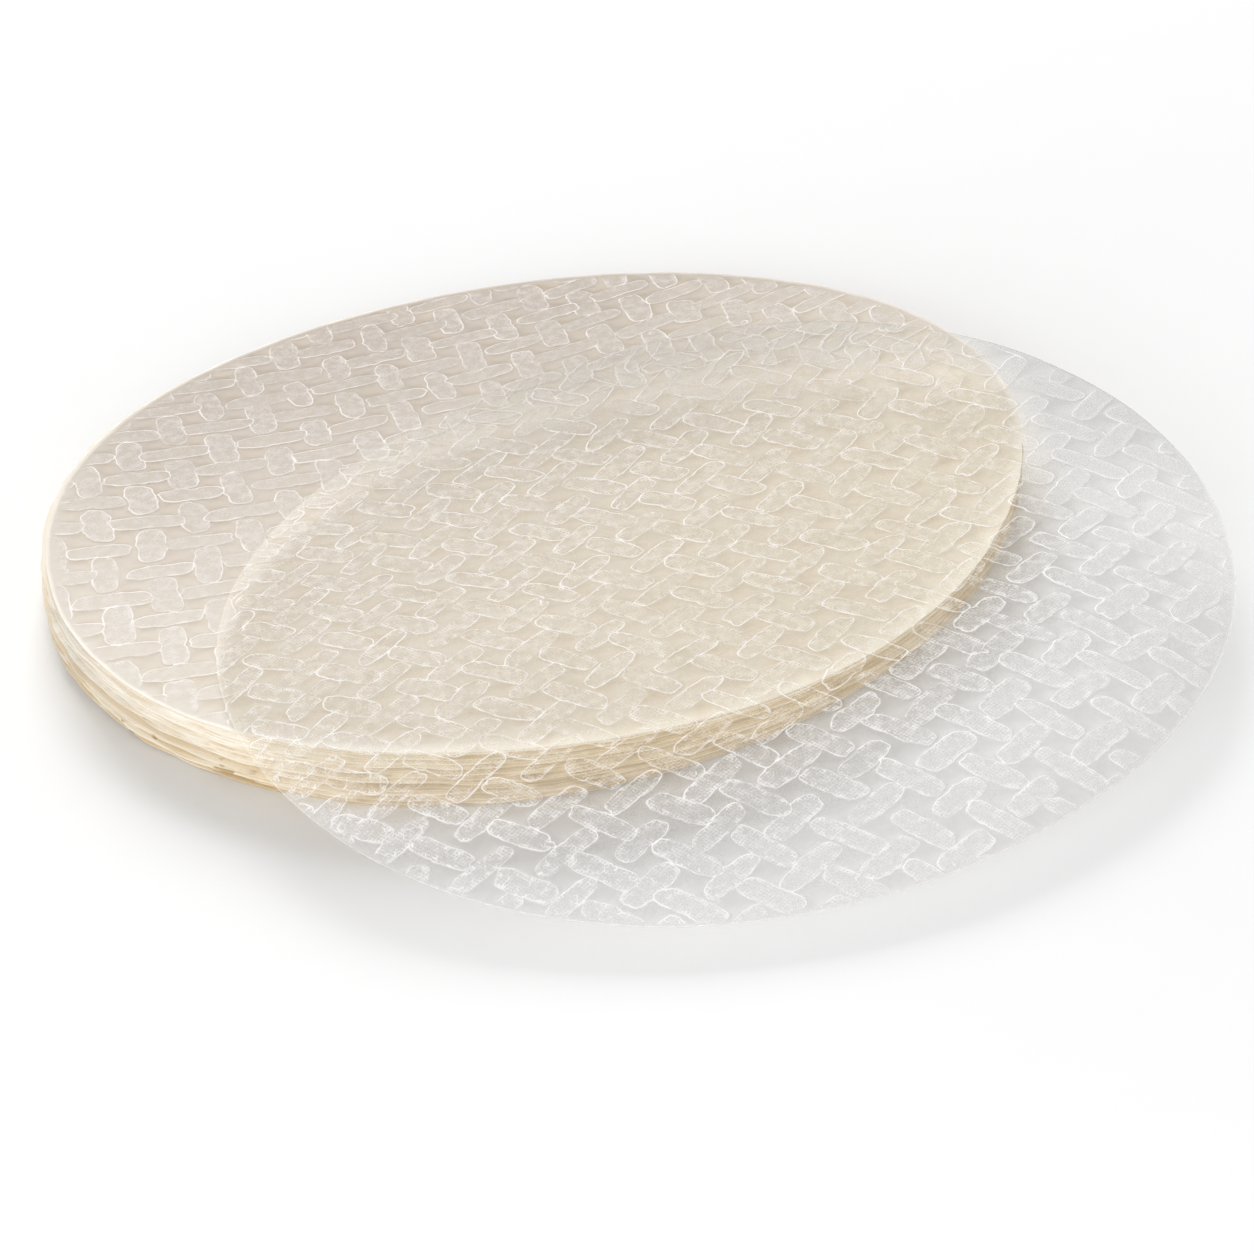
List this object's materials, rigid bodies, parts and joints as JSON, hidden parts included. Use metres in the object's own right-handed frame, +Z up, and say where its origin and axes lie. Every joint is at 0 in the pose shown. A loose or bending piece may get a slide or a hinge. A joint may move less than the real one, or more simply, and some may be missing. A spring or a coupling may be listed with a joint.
{
  "type": "rice paper wrapper stack",
  "caption": "Low round pile of dried rice paper wrappers with an embossed basket weave, and one loose see-through wrapper lying across its front edge.",
  "frame": {"origin": "middle of the flat patch under the lowest wrapper, where the pile rests", "axes": "+Z up through the pile; +X to the right; the loose wrapper overhangs towards -Y, the front"},
  "size_m": [0.2621, 0.2866, 0.0247],
  "materials": {
    "pile_rice_paper": "dry rice paper in a pile, cream, embossed with a frosted basket weave",
    "loose_rice_paper": "single sheet of rice paper, see-through between frosted white weave marks"
  },
  "bodies": {
    "root": {"wrapper_01": "pile_rice_paper", "wrapper_02": "pile_rice_paper", "wrapper_03": "pile_rice_paper", "wrapper_04": "pile_rice_paper", "wrapper_05": "pile_rice_paper", "wrapper_06": "pile_rice_paper", "wrapper_07": "pile_rice_paper", "wrapper_08": "pile_rice_paper", "wrapper_09": "pile_rice_paper", "wrapper_10": "pile_rice_paper", "wrapper_11": "pile_rice_paper", "wrapper_12": "pile_rice_paper", "wrapper_13": "pile_rice_paper", "wrapper_14": "pile_rice_paper", "wrapper_15": "pile_rice_paper", "wrapper_16": "pile_rice_paper", "wrapper_17": "pile_rice_paper", "wrapper_18": "pile_rice_paper", "wrapper_19": "pile_rice_paper", "wrapper_20": "pile_rice_paper", "loose_wrapper": "loose_rice_paper"}
  },
  "joints": []
}
